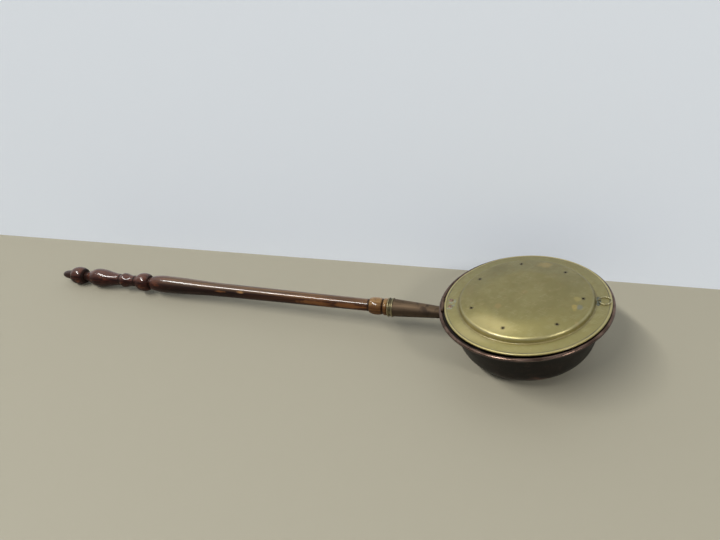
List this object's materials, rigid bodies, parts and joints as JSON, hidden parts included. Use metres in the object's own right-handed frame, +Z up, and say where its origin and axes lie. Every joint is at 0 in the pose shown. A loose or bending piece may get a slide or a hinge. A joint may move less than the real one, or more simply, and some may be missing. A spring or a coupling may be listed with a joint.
{
  "type": "bed warming pan",
  "caption": "Long-handled bed warming pan at rest on a floor: dark copper pan with a wired rim, hinged brass lid with vents and a lift loop, turned wooden handle in a riveted copper socket.",
  "frame": {"origin": "on the floor, under the middle of the object's bounding box, in the pose in which it lies: heel of the pan and finial of the handle on the floor", "axes": "+X from the end of the handle towards the pan, +Z up from the floor, XZ is the plane through the axes of the pan and the handle; the lid's hinge is turned 5.5 degrees about the pan's axis, towards -Y"},
  "size_m": [1.1704, 0.3, 0.1379],
  "materials": {
    "dark_copper": "copper sheet, blackened brown",
    "brown_copper": "copper sheet, brown patina",
    "red_copper": "hammered copper rivet, tarnished",
    "brass": "aged brass, dull satin",
    "dull_brass": "aged brass, greenish",
    "iron": "dark iron",
    "solder": "grey soft solder",
    "turned_wood": "turned hardwood, dark varnish"
  },
  "bodies": {
    "pan_and_handle": {"pan_bowl": "dark_copper", "rim_wire": "iron", "socket_foot": "brown_copper", "foot_rivets": "red_copper", "socket": "brown_copper", "socket_collar": "dull_brass", "socket_nail": "iron", "handle": "turned_wood", "pan_hinge_leaf": "brown_copper", "hinge_pin": "iron"},
    "lid_assembly": {"lid": "brass", "lid_wire": "iron", "lid_hinge_leaf": "brown_copper", "lid_rivets": "red_copper", "loop_staple": "dull_brass", "staple_solder": "solder"},
    "loop": {"lift_loop": "brass"}
  },
  "joints": [
    {"name": "lid_hinge", "type": "hinge", "parent": "pan_and_handle", "child": "lid_assembly", "pos_m": [0.29551, -0.01368, 0.09002], "axis": [0.0948, -0.9954, 0.014], "range_deg": [0, 170]},
    {"name": "loop_swing", "type": "hinge", "parent": "lid_assembly", "child": "loop", "pos_m": [0.55769, 0.00114, 0.13198], "axis": [0, -1, 0], "range_deg": [0, 133]}
  ]
}
